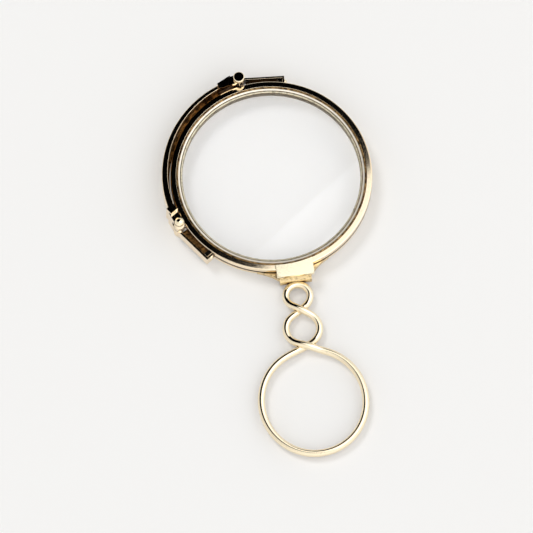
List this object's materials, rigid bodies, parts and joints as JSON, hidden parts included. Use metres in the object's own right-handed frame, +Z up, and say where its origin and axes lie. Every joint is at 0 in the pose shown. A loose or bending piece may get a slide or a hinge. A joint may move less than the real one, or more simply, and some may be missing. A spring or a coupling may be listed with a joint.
{
  "type": "lorgnette",
  "caption": "Folding lorgnette in polished gold metal: round lenses that fold one over the other on a curved hinged bridge, with a twisted wire handle ending in a finger ring.",
  "frame": {"origin": "under the middle of the folded object, on the surface it lies on", "axes": "+Z up, out of the front lens; +Y from the finger ring towards the lenses; +X to the right seen from the front, away from the bridge"},
  "size_m": [0.0448, 0.0868, 0.0071],
  "materials": {
    "gold": "polished gold-filled metal",
    "lens_glass": "clear, polished",
    "spring_steel": "drawn wire"
  },
  "bodies": {
    "handle": {"rear_rim": "gold", "rear_bezel": "gold", "rear_lens": "lens_glass", "rear_knuckle": "gold", "rear_spring_lug": "gold", "rear_leaf_spring": "gold", "rear_spring_stud": "gold", "top_hinge_pin": "gold", "handle_head": "gold", "handle_wire": "gold", "catch_spring": "spring_steel", "catch_plug": "gold"},
    "bridge": {"bridge_band": "gold", "top_lug": "gold", "lower_lug": "gold", "lower_hinge_pin": "gold"},
    "front": {"front_rim": "gold", "front_bezel": "gold", "front_lens": "lens_glass", "front_knuckle": "gold", "front_spring_lug": "gold", "front_leaf_spring": "gold", "front_spring_stud": "gold", "thumb_piece": "gold"},
    "catch": {"catch_plunger": "gold"}
  },
  "joints": [
    {"name": "bridge_swing", "type": "hinge", "parent": "handle", "child": "bridge", "pos_m": [-0.003, 0.04223, 0], "axis": [0, 0, 1], "range_deg": [-90, 0]},
    {"name": "lens_swing", "type": "hinge", "parent": "bridge", "child": "front", "pos_m": [-0.02003, 0.01151, 0], "axis": [0, 0, 1], "range_deg": [-90, 0]},
    {"name": "catch_press", "type": "slide", "parent": "handle", "child": "catch", "axis": [0, 0, -1], "range_m": [0, 0.0003], "stiffness_N_per_m": 300, "springref_m": -0.0005, "deforming": ["catch_spring"]}
  ]
}
